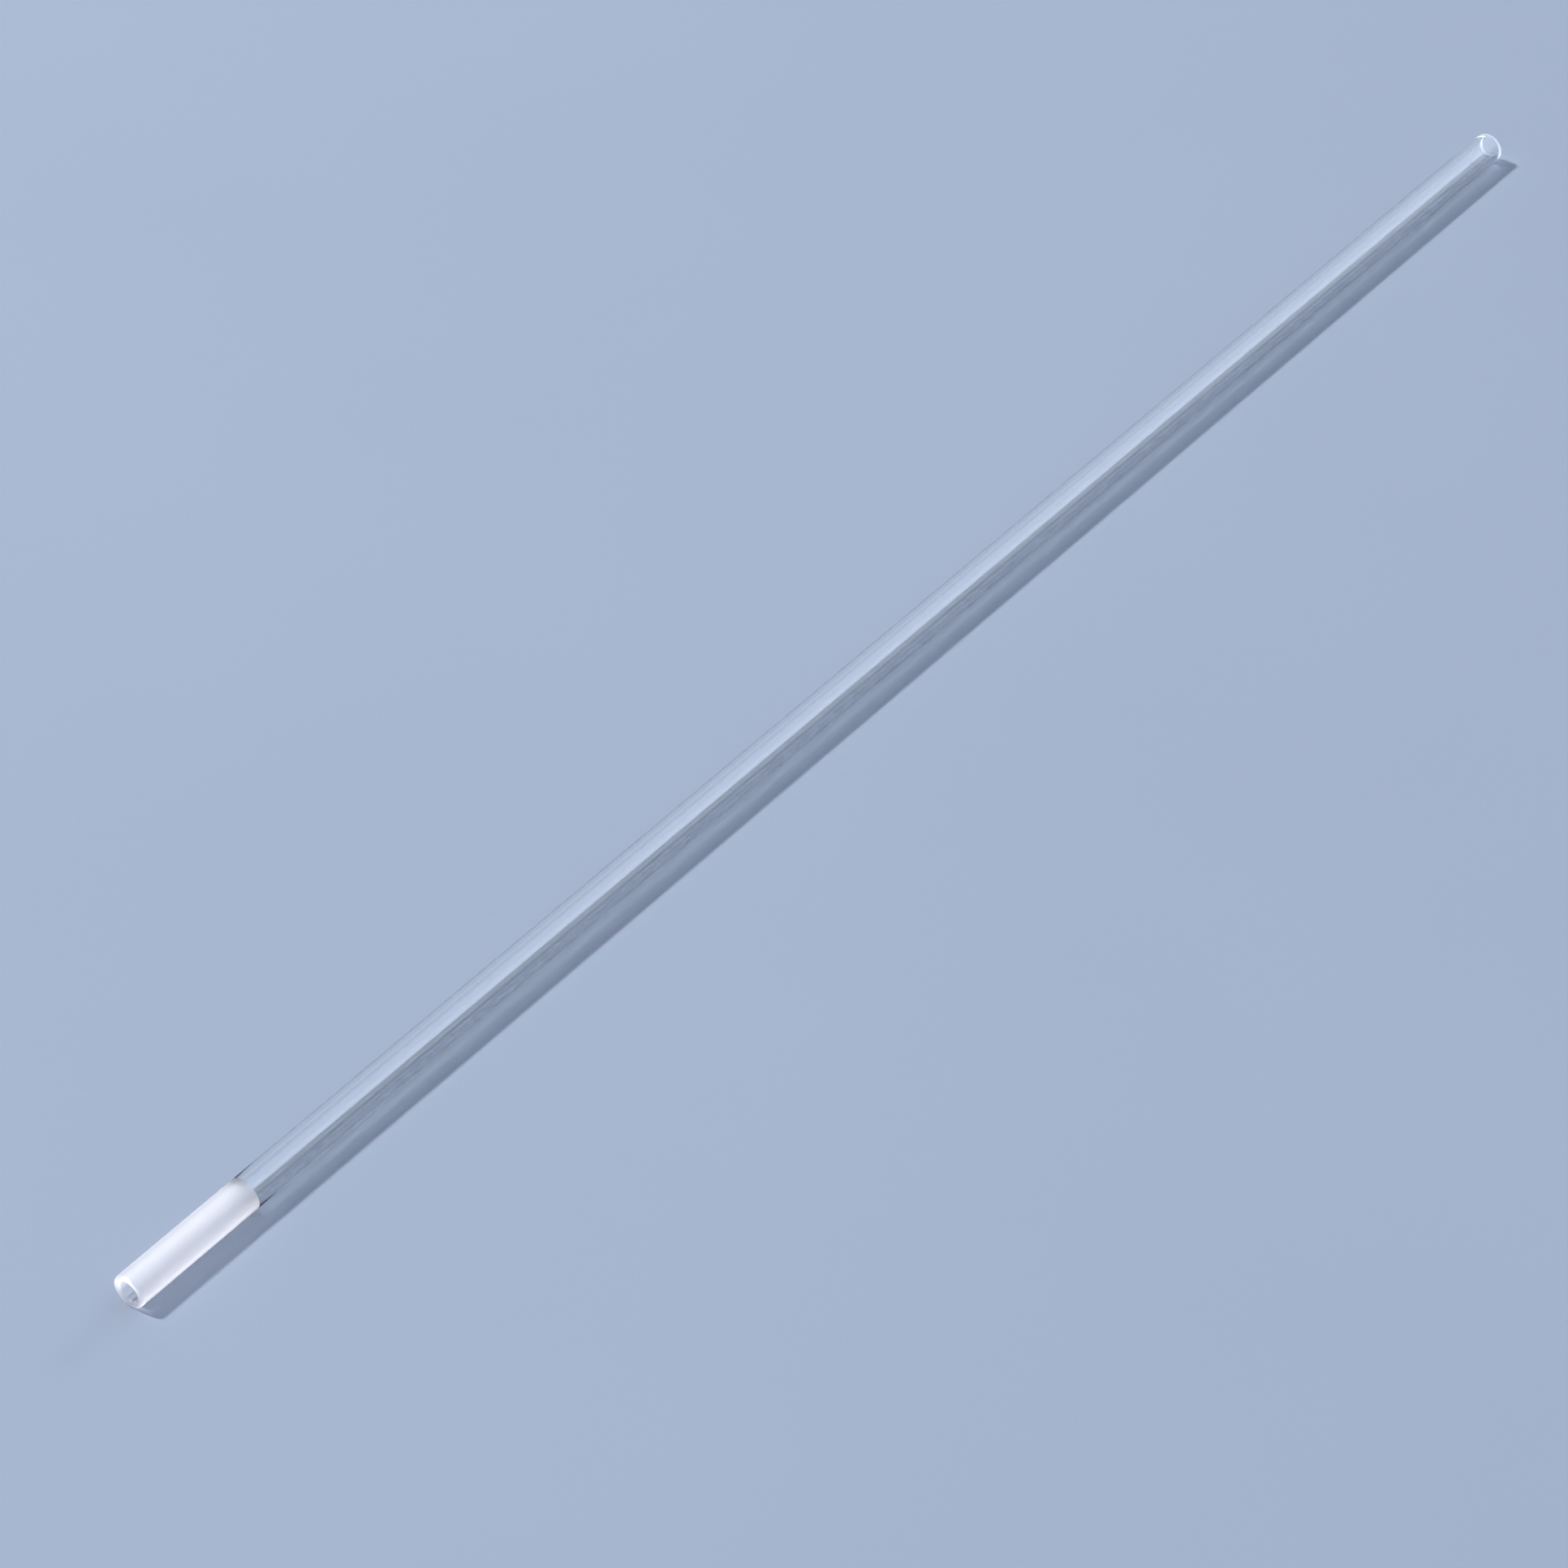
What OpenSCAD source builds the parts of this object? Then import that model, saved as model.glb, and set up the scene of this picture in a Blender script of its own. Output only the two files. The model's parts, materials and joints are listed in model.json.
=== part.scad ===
// Straight glass capillary tube, lying on its side along X.
// One piece of drawn glass: both ends are melted smooth, and the outside of one end is ground frosted.
// All sizes are in millimetres. The tube rests on the plane Z = 0, with its middle over the origin.

/* [Tube] */
// Length over both melted ends
tube_length = 320; // [60:5:600]
// Outside diameter of the clear glass
tube_od = 5; // [4:0.5:12]
// Thickness of the glass between the bore and the outside
wall_thickness = 0.9; // [0.5:0.1:1.8]

/* [Frosted end] */
// Length of the ground zone, from its end of the tube
frosted_length = 21.5; // [4:0.5:50]
// Depth of glass that the grinding takes off the outside
ground_depth = 0.02; // [0.01:0.01:0.05]

/* [Melted ends] */
// Radius of the rounded corners, at the bore and at the outside
rim_radius = 0.4; // [0.1:0.05:0.6]
// Narrowest flat land that stays between the two rounded corners
least_land = 0.04; // [0.02:0.01:0.1]

/* [Hidden] */
$fn = 96;
outer_r = tube_od / 2;
ground_r = outer_r - ground_depth;
bore_r = outer_r - wall_thickness;
// the frosted end has the thinner wall, so it limits the corners of both ends
corner_r = min(rim_radius, (ground_r - bore_r - least_land) / 2);
glass_colour = [0.84, 0.89, 0.96];

// Half-section of a straight stretch of wall, between two heights up the axis
module wall_section(outside_r, low, high) {
    translate([bore_r, low])
        square([outside_r - bore_r, high - low]);
}

// Half-section of a melted end: a land between two rounded corners, with its end face at height 0
module rim_section(outside_r) {
    land = outside_r - bore_r - 2 * corner_r;
    for (corner_x = [bore_r + corner_r, outside_r - corner_r])
        translate([corner_x, corner_r])
            circle(corner_r);
    translate([bore_r + corner_r, 0])
        square([land, 2 * corner_r]);
}

// Half-section of the whole tube, standing on its frosted end
module tube_section() {
    rim_section(ground_r);
    wall_section(ground_r, corner_r, frosted_length);
    wall_section(outer_r, frosted_length, tube_length - corner_r);
    translate([0, tube_length])
        mirror([0, 1])
            rim_section(outer_r);
}

module capillary_tube() {
    color(glass_colour)
        translate([-tube_length / 2, 0, outer_r])
            rotate([0, 90, 0])
                rotate_extrude()
                    tube_section();
}

capillary_tube();
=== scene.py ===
import json
from math import cos, pi, radians, sin

import bpy
import bmesh
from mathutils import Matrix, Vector


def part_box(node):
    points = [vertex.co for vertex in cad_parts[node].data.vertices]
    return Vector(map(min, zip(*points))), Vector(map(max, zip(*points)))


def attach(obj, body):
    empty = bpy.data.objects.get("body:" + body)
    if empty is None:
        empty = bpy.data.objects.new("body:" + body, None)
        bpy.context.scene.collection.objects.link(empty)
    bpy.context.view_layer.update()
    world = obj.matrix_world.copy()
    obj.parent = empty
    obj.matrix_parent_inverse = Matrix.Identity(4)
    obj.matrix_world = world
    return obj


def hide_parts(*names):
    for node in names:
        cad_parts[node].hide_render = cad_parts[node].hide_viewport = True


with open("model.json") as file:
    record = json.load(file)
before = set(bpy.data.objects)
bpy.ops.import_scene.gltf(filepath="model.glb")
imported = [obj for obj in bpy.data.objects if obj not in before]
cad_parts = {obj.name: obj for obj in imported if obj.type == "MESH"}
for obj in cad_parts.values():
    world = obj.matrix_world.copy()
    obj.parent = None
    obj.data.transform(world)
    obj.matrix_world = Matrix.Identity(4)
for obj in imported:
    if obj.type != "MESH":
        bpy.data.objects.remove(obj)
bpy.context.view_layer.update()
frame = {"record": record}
print("frame loaded")

# The tube as drawn glass, in metres. Its length and outside come from the frame's box,
# and its bore from the frame's mount.
nodeLow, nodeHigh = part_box("capillary_tube")
boreMount = next(mount for mount in frame["record"]["mounts"] if mount["name"] == "bore")
tube = {
    "length": nodeHigh.x - nodeLow.x,
    "outsideRadius": (nodeHigh.z - nodeLow.z) / 2,
    "boreRadius": boreMount["dims"]["r_mm"] / 1000,
    "axisHeight": (nodeHigh.z + nodeLow.z) / 2,
    "rimRadius": 0.0004,  # melted corners, as in the part
    "rimProfile": 0.5,  # a true quarter circle
    "rimSegments": 10,
    "groundLength": 0.0215,  # the frosted zone, from its end of the tube
    "groundDepth": 0.00002,  # what the grinding took off
    "groundRamp": 0.00015,  # how gently the ground zone runs out
    "groundStart": 0.9,  # the frost begins this share of the corner's radius in from the end
    "spinSteps": 128,
    "stations": 48,  # even lengths along the tube
    "stationGap": 0.25,  # no even cut is nearer the ground zone's end than this share of a length
    "smoothAngle": 50,  # degrees; sharper corners than this stay sharp
}


def deselectAll():
    if bpy.context.object and bpy.context.object.mode != "OBJECT":
        bpy.ops.object.mode_set(mode="OBJECT")
    bpy.ops.object.select_all(action="DESELECT")


def pickVertices(piece, wanted):
    # in edit mode, selects the vertices that wanted() accepts
    shape = bmesh.from_edit_mesh(piece.data)
    bpy.ops.mesh.select_mode(type="VERT")
    bpy.ops.mesh.select_all(action="DESELECT")
    for vertex in shape.verts:
        vertex.select = wanted(vertex.co)
    shape.select_flush_mode()
    bmesh.update_edit_mesh(piece.data)


def cutAcross(x):
    bpy.ops.mesh.select_all(action="SELECT")
    bpy.ops.mesh.bisect(plane_co=(x, 0, 0), plane_no=(1, 0, 0))


def makeTube(t):
    deselectAll()
    wall = t["outsideRadius"] - t["boreRadius"]
    middle = t["axisHeight"] + t["boreRadius"] + wall / 2
    leftEnd = -t["length"] / 2
    groundEnd = leftEnd + t["groundLength"]
    near = 1e-6  # metres; closer than this is the same place
    # the wall's section over the axis: one long strip, from the bore up to the outside
    bpy.ops.mesh.primitive_plane_add(size=1, location=(0, 0, middle), rotation=(pi / 2, 0, 0))
    piece = bpy.context.object
    piece.name = "capillaryTube"
    piece.data.name = "capillaryTube"
    piece.scale = (t["length"], wall, 1)
    bpy.ops.object.transform_apply(location=True, rotation=True, scale=True)
    bpy.ops.object.mode_set(mode="EDIT")
    # melted corners at both ends
    pickVertices(piece, lambda co: True)
    bpy.ops.mesh.bevel(
        affect="VERTICES",
        offset=t["rimRadius"],
        segments=t["rimSegments"],
        profile=t["rimProfile"],
    )
    # the ground zone: its outside edge is lowered, as far as a short ramp
    cutAcross(groundEnd)
    cutAcross(groundEnd + t["groundRamp"])
    pickVertices(piece, lambda co: co.x < groundEnd + near and co.z > middle)
    bpy.ops.transform.translate(value=(0, 0, -t["groundDepth"]))
    # even cuts along the rest, so that no face runs the whole length
    step = t["length"] / t["stations"]
    for station in range(1, t["stations"]):
        place = leftEnd + station * step
        if abs(place - groundEnd) > step * t["stationGap"]:
            cutAcross(place)
    # only the outline is kept: the faces go, then the edges that the cuts left across the wall
    bpy.ops.mesh.select_mode(type="FACE")
    bpy.ops.mesh.select_all(action="SELECT")
    bpy.ops.mesh.delete(type="ONLY_FACE")
    shape = bmesh.from_edit_mesh(piece.data)
    bpy.ops.mesh.select_mode(type="EDGE")
    bpy.ops.mesh.select_all(action="DESELECT")
    endGap = t["rimRadius"] / 2  # spares the edges of the two end faces
    for edge in shape.edges:
        a, b = edge.verts
        crosses = abs(a.co.x - b.co.x) < near and abs(a.co.z - b.co.z) > wall / 2
        edge.select = crosses and abs(a.co.x) < t["length"] / 2 - endGap
    bmesh.update_edit_mesh(piece.data)
    bpy.ops.mesh.delete(type="EDGE")
    # the outline is spun round the bore's axis
    bpy.ops.mesh.select_all(action="SELECT")
    bpy.ops.mesh.spin(
        steps=t["spinSteps"],
        angle=2 * pi,
        center=(0, 0, t["axisHeight"]),
        axis=(1, 0, 0),
        use_auto_merge=True,
    )
    bpy.ops.mesh.select_all(action="SELECT")
    bpy.ops.mesh.remove_doubles(threshold=near)
    bpy.ops.mesh.normals_make_consistent(inside=False)
    bpy.ops.object.mode_set(mode="OBJECT")
    bpy.ops.object.shade_smooth_by_angle(angle=radians(t["smoothAngle"]))
    return piece


def radiusOf(co, t):
    return (co.y**2 + (co.z - t["axisHeight"]) ** 2) ** 0.5


glassTube = makeTube(tube)
print("tube spun:", len(glassTube.data.vertices), "vertices", len(glassTube.data.polygons), "faces")


def addNode(tree, kind, **values):
    # a node with its own settings, such as its data type
    node = tree.nodes.new(kind)
    for name, value in values.items():
        setattr(node, name, value)
    return node


def newMaterial(name):
    material = bpy.data.materials.new(name)
    material.use_nodes = True
    return material, material.node_tree, material.node_tree.nodes["Principled BSDF"]


def newGroup(name, takes, gives):
    # a node group with named sockets: name, kind and, going in, what it starts from
    group = bpy.data.node_groups.new(name, "ShaderNodeTree")
    for label, kind, start in takes:
        group.interface.new_socket(name=label, in_out="INPUT", socket_type=kind).default_value = start
    for label, kind in gives:
        group.interface.new_socket(name=label, in_out="OUTPUT", socket_type=kind)
    return group, group.nodes.new("NodeGroupInput"), group.nodes.new("NodeGroupOutput")


grainPlan = {
    "patchDetail": 4.0,
    "grainDetail": 3.0,
    "grainShare": 0.35,  # how much of the colour and roughness follows the fine grain
    "spread": (0.3, 0.7),  # the part of the noise that is used, for contrast
}


def makeGrainGroup(g):
    # patches that vary the colour and roughness, and a fine grain for the bump
    number, colour = "NodeSocketFloat", "NodeSocketColor"
    group, given, made = newGroup(
        "surfaceGrain",
        [
            ("Patch Scale", number, 400.0),
            ("Grain Scale", number, 7000.0),
            ("Smoothest", number, 0.5),
            ("Roughest", number, 0.8),
            ("Light", colour, (1, 1, 1, 1)),
            ("Dark", colour, (0.9, 0.9, 0.9, 1)),
        ],
        [("Colour", colour), ("Roughness", number), ("Height", number)],
    )
    place = group.nodes.new("ShaderNodeTexCoord")
    patches = group.nodes.new("ShaderNodeTexNoise")
    patches.inputs["Detail"].default_value = g["patchDetail"]
    grain = group.nodes.new("ShaderNodeTexNoise")
    grain.inputs["Detail"].default_value = g["grainDetail"]
    both = addNode(group, "ShaderNodeMix", data_type="FLOAT")
    both.inputs["Factor"].default_value = g["grainShare"]
    spread = group.nodes.new("ShaderNodeMapRange")
    spread.inputs["From Min"].default_value, spread.inputs["From Max"].default_value = g["spread"]
    rough = group.nodes.new("ShaderNodeMapRange")
    tint = addNode(group, "ShaderNodeMix", data_type="RGBA")
    link = group.links.new
    link(place.outputs["Object"], patches.inputs["Vector"])
    link(place.outputs["Object"], grain.inputs["Vector"])
    link(given.outputs["Patch Scale"], patches.inputs["Scale"])
    link(given.outputs["Grain Scale"], grain.inputs["Scale"])
    link(patches.outputs["Fac"], both.inputs["A"])
    link(grain.outputs["Fac"], both.inputs["B"])
    link(both.outputs["Result"], spread.inputs["Value"])
    link(spread.outputs["Result"], rough.inputs["Value"])
    link(given.outputs["Smoothest"], rough.inputs["To Min"])
    link(given.outputs["Roughest"], rough.inputs["To Max"])
    link(spread.outputs["Result"], tint.inputs["Factor"])
    link(given.outputs["Light"], tint.inputs["A"])
    link(given.outputs["Dark"], tint.inputs["B"])
    link(tint.outputs["Result"], made.inputs["Colour"])
    link(rough.outputs["Result"], made.inputs["Roughness"])
    link(grain.outputs["Fac"], made.inputs["Height"])
    return group


grainGroup = makeGrainGroup(grainPlan)


def addGrain(tree, shader, look):
    # puts the grain group and a bump in front of a shader
    grain = addNode(tree, "ShaderNodeGroup", node_tree=grainGroup)
    grain.inputs["Patch Scale"].default_value = look["patchScale"]
    grain.inputs["Grain Scale"].default_value = look["grainScale"]
    grain.inputs["Smoothest"].default_value, grain.inputs["Roughest"].default_value = look["roughness"]
    grain.inputs["Light"].default_value, grain.inputs["Dark"].default_value = look["colours"]
    bump = tree.nodes.new("ShaderNodeBump")
    bump.inputs["Strength"].default_value = look["bump"]
    bump.inputs["Distance"].default_value = look["grainDepth"]
    tree.links.new(grain.outputs["Height"], bump.inputs["Height"])
    tree.links.new(grain.outputs["Colour"], shader.inputs["Base Color"])
    tree.links.new(grain.outputs["Roughness"], shader.inputs["Roughness"])
    tree.links.new(bump.outputs["Normal"], shader.inputs["Normal"])
    return bump


glassIndex = 1.474  # how strongly the glass bends light
black = (0, 0, 0, 1)
clearLook = {
    "tint": (0.995, 0.998, 1.0, 1),
    "faintTint": (0.972, 0.982, 0.995, 1),  # where the draw lines are deepest
    "lineScale": (5.0, 1100.0, 1100.0),  # long along the tube, fine around it
    "lineDetail": 2.0,
    "lineDepth": 0.000006,
    "lineStrength": 0.5,
    "lampIn": (0.22, 0.225, 0.23, 1),  # the share of lamp light that goes straight in
    "lampOut": (0.9, 0.91, 0.93, 1),  # and of that, the share that goes straight out again
    "lampSlant": 0.6,  # none goes in where the surface is turned away this far
}
frostLamp = {
    "lampIn": (0.06, 0.06, 0.06, 1),  # little goes straight in, as the frost scatters it
    "lampOut": (0.62, 0.6, 0.61, 1),
    "lampSlant": 3.0,  # past 1, so that none of the surface shuts it out
}
frostLooks = {
    "groundGlass": {
        "patchScale": 420.0,
        "grainScale": 6500.0,
        "roughness": (0.66, 0.84),
        "colours": ((0.995, 0.995, 1.0, 1), (0.965, 0.97, 0.985, 1)),
        "bump": 0.35,
        "grainDepth": 0.00003,
        "scatter": 0.42,  # the share of light that the surface sends every way
        "scatterTint": (0.98, 0.955, 0.96, 1),
        "coat": 0.0,
    },
    "meltedRim": {
        "patchScale": 900.0,
        "grainScale": 5000.0,
        "roughness": (0.42, 0.58),
        "colours": ((0.995, 0.995, 1.0, 1), (0.97, 0.975, 0.985, 1)),
        "bump": 0.2,
        "grainDepth": 0.00002,
        "scatter": 0.4,
        "scatterTint": (0.98, 0.96, 0.97, 1),
        "coat": 1.0,  # melted smooth over the grain
    },
    "mattRim": {
        "patchScale": 900.0,
        "grainScale": 5000.0,
        "roughness": (0.34, 0.48),
        "colours": ((0.995, 0.995, 1.0, 1), (0.97, 0.975, 0.985, 1)),
        "bump": 0.2,
        "grainDepth": 0.00002,
        "scatter": 0.95,
        "scatterTint": (0.97, 0.97, 1.0, 1),
        "coat": 0.0,
    },
}
coatRoughness = 0.05  # of the melted rim's smooth coat


def clearGlass(look):
    # smooth glass with the faint long lines that drawing leaves
    material, tree, shader = newMaterial("clearGlass")
    place = tree.nodes.new("ShaderNodeTexCoord")
    stretch = tree.nodes.new("ShaderNodeMapping")
    stretch.inputs["Scale"].default_value = look["lineScale"]
    lines = tree.nodes.new("ShaderNodeTexNoise")
    lines.inputs["Scale"].default_value = 1.0  # the stretch sets the size
    lines.inputs["Detail"].default_value = look["lineDetail"]
    tint = addNode(tree, "ShaderNodeMix", data_type="RGBA")
    tint.inputs["A"].default_value = look["tint"]
    tint.inputs["B"].default_value = look["faintTint"]
    bump = tree.nodes.new("ShaderNodeBump")
    bump.inputs["Strength"].default_value = look["lineStrength"]
    bump.inputs["Distance"].default_value = look["lineDepth"]
    tree.links.new(place.outputs["Object"], stretch.inputs["Vector"])
    tree.links.new(stretch.outputs["Vector"], lines.inputs["Vector"])
    tree.links.new(lines.outputs["Fac"], tint.inputs["Factor"])
    tree.links.new(lines.outputs["Fac"], bump.inputs["Height"])
    tree.links.new(tint.outputs["Result"], shader.inputs["Base Color"])
    tree.links.new(bump.outputs["Normal"], shader.inputs["Normal"])
    shader.inputs["Roughness"].default_value = 0.0
    shader.inputs["IOR"].default_value = glassIndex
    shader.inputs["Transmission Weight"].default_value = 1.0
    return material


def frostedGlass(name, look):
    # rough glass with a share that scatters light every way
    material, tree, shader = newMaterial(name)
    bump = addGrain(tree, shader, look)
    shader.inputs["IOR"].default_value = glassIndex
    shader.inputs["Transmission Weight"].default_value = 1.0
    shader.inputs["Coat Weight"].default_value = look["coat"]
    shader.inputs["Coat Roughness"].default_value = coatRoughness
    scatter = tree.nodes.new("ShaderNodeBsdfTranslucent")
    scatter.inputs["Color"].default_value = look["scatterTint"]
    mix = tree.nodes.new("ShaderNodeMixShader")
    mix.inputs["Fac"].default_value = look["scatter"]
    tree.links.new(bump.outputs["Normal"], scatter.inputs["Normal"])
    tree.links.new(shader.outputs["BSDF"], mix.inputs[1])
    tree.links.new(scatter.outputs["BSDF"], mix.inputs[2])
    tree.links.new(mix.outputs["Shader"], tree.nodes["Material Output"].inputs["Surface"])
    return material


def letLampPast(material, look):
    # some lamp light goes straight through to what is behind, most where it meets the glass squarely
    tree = material.node_tree
    surface = tree.nodes["Material Output"].inputs["Surface"]
    glass = surface.links[0].from_socket
    ray = tree.nodes.new("ShaderNodeLightPath")
    side = tree.nodes.new("ShaderNodeNewGeometry")
    slant = tree.nodes.new("ShaderNodeLayerWeight")
    fade = addNode(tree, "ShaderNodeMapRange", interpolation_type="SMOOTHSTEP")
    fade.inputs["From Max"].default_value = look["lampSlant"]
    either = addNode(tree, "ShaderNodeMix", data_type="RGBA")
    either.inputs["A"].default_value = look["lampIn"]
    either.inputs["B"].default_value = look["lampOut"]
    dimmed = addNode(tree, "ShaderNodeMix", data_type="RGBA")
    dimmed.inputs["B"].default_value = black
    through = tree.nodes.new("ShaderNodeBsdfTransparent")
    mix = tree.nodes.new("ShaderNodeMixShader")
    tree.links.new(side.outputs["Backfacing"], either.inputs["Factor"])
    tree.links.new(either.outputs["Result"], dimmed.inputs["A"])
    tree.links.new(slant.outputs["Facing"], fade.inputs["Value"])
    tree.links.new(fade.outputs["Result"], dimmed.inputs["Factor"])
    tree.links.new(dimmed.outputs["Result"], through.inputs["Color"])
    tree.links.new(ray.outputs["Is Shadow Ray"], mix.inputs["Fac"])
    tree.links.new(glass, mix.inputs[1])
    tree.links.new(through.outputs["BSDF"], mix.inputs[2])
    tree.links.new(mix.outputs["Shader"], surface)
    return material


glassTube.data.materials.append(letLampPast(clearGlass(clearLook), clearLook))
for finish, look in frostLooks.items():
    glassTube.data.materials.append(letLampPast(frostedGlass(finish, look), frostLamp))
finishes = [material.name for material in glassTube.data.materials]
rimFrom = tube["length"] / 2 - tube["rimRadius"]
groundFrom = -tube["length"] / 2 + tube["rimRadius"] * tube["groundStart"]
groundTo = -tube["length"] / 2 + tube["groundLength"] + tube["groundRamp"]
wallMiddle = (tube["outsideRadius"] + tube["boreRadius"]) / 2
for face in glassTube.data.polygons:
    place = face.center
    if groundFrom < place.x < groundTo and radiusOf(place, tube) > wallMiddle:
        face.material_index = finishes.index("groundGlass")
    elif place.x < -rimFrom:
        face.material_index = finishes.index("meltedRim")
    elif place.x > rimFrom:
        face.material_index = finishes.index("mattRim")
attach(glassTube, "root")
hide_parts("capillary_tube")
print("glass finished")

floorPlan = {
    "size": 16.0,
    "patchScale": 9.0,
    "grainScale": 2600.0,
    "roughness": (0.86, 0.94),
    "colours": ((0.183, 0.213, 0.268, 1), (0.177, 0.206, 0.259, 1)),
    "bump": 0.12,
    "grainDepth": 0.0001,
    "shine": 0.2,  # low, so that the floor has no glare
}


def makeFloor(f):
    deselectAll()
    bpy.ops.mesh.primitive_plane_add(size=f["size"], location=(0, 0, 0))
    ground = bpy.context.object
    ground.name = "studioFloor"
    material, tree, shader = newMaterial("paleFloor")
    addGrain(tree, shader, f)
    shader.inputs["Specular IOR Level"].default_value = f["shine"]
    ground.data.materials.append(material)


makeFloor(floorPlan)

lights = {
    "keyFrom": (-0.30, 0.725, 1.0),  # towards the key light
    "keyDistance": 3.0,
    "keySize": 0.32,
    "keyPower": 140.0,  # watts
    "horizonColour": (0.46, 0.54, 0.68, 1),
    "skyColour": (0.29, 0.325, 0.375, 1),
    "skyFrom": 0.85,  # how far up the horizon's colour reaches
    "windows": [  # soft bright areas: towards where, how far it fades, its colour
        {"from": (0.646, -0.173, 0.743), "fade": (0.57, 0.97), "colour": (1.6, 1.8, 2.15, 1)},
        {"from": (1.0, 0.0, 0.14), "fade": (0.95, 0.995), "colour": (14.0, 14.0, 14.0, 1)},
    ],
}


def aimAt(thing, target):
    thing.rotation_mode = "QUATERNION"
    thing.rotation_quaternion = (target - thing.location).to_track_quat("-Z", "Y")


def makeKey(plan):
    lamp = bpy.data.lights.new("keyLight", "AREA")
    lamp.shape = "DISK"
    lamp.size = plan["keySize"]
    lamp.energy = plan["keyPower"]
    key = bpy.data.objects.new("keyLight", lamp)
    bpy.context.scene.collection.objects.link(key)
    key.location = Vector(plan["keyFrom"]).normalized() * plan["keyDistance"]
    aimAt(key, Vector((0, 0, 0)))


def makeRoom(plan):
    # a soft pale room: the horizon like the floor, dimmer above, with soft bright windows
    world = bpy.data.worlds.new("studio")
    bpy.context.scene.world = world
    world.use_nodes = True
    tree = world.node_tree
    place = tree.nodes.new("ShaderNodeTexCoord")
    parts = tree.nodes.new("ShaderNodeSeparateXYZ")
    climb = addNode(tree, "ShaderNodeMapRange", interpolation_type="SMOOTHSTEP")
    climb.inputs["From Max"].default_value = plan["skyFrom"]
    sky = addNode(tree, "ShaderNodeMix", data_type="RGBA")
    sky.inputs["A"].default_value = plan["horizonColour"]
    sky.inputs["B"].default_value = plan["skyColour"]
    tree.links.new(place.outputs["Generated"], parts.inputs["Vector"])
    tree.links.new(parts.outputs["Z"], climb.inputs["Value"])
    tree.links.new(climb.outputs["Result"], sky.inputs["Factor"])
    shown = sky
    for window in plan["windows"]:
        facing = addNode(tree, "ShaderNodeVectorMath", operation="DOT_PRODUCT")
        facing.inputs[1].default_value = Vector(window["from"]).normalized()
        fade = addNode(tree, "ShaderNodeMapRange", interpolation_type="SMOOTHSTEP")
        fade.inputs["From Min"].default_value, fade.inputs["From Max"].default_value = window["fade"]
        glow = addNode(tree, "ShaderNodeMix", data_type="RGBA")
        glow.inputs["B"].default_value = window["colour"]
        tree.links.new(place.outputs["Generated"], facing.inputs[0])
        tree.links.new(facing.outputs["Value"], fade.inputs["Value"])
        tree.links.new(fade.outputs["Result"], glow.inputs["Factor"])
        tree.links.new(shown.outputs["Result"], glow.inputs["A"])
        shown = glow
    tree.links.new(shown.outputs["Result"], tree.nodes["Background"].inputs["Color"])


makeKey(lights)
makeRoom(lights)
print("studio lit")

view = {
    "azimuth": -52.12,  # degrees round from looking along +Y
    "elevation": 41.4,
    "aim": (-0.03164, -0.00397, 0.0),
    "distance": 0.7037,
    "lens": 115.5,  # millimetres, as is the sensor
    "sensor": 36,
    "clip": (0.01, 50),
}


def makeCamera(v):
    turn, rise = radians(v["azimuth"]), radians(v["elevation"])
    back = Vector((sin(turn) * cos(rise), -cos(turn) * cos(rise), sin(rise)))
    lens = bpy.data.cameras.new("camera")
    lens.lens = v["lens"]
    lens.sensor_width = v["sensor"]
    lens.clip_start, lens.clip_end = v["clip"]
    camera = bpy.data.objects.new("camera", lens)
    bpy.context.scene.collection.objects.link(camera)
    camera.location = Vector(v["aim"]) + back * v["distance"]
    aimAt(camera, Vector(v["aim"]))
    bpy.context.scene.camera = camera


makeCamera(view)
picture = {
    "viewTransform": "Standard",
    "brightestBounce": 2.0,  # calms the sparkle of light through glass
}
bpy.context.scene.view_settings.view_transform = picture["viewTransform"]
bpy.context.scene.cycles.sample_clamp_indirect = picture["brightestBounce"]

print("ready")
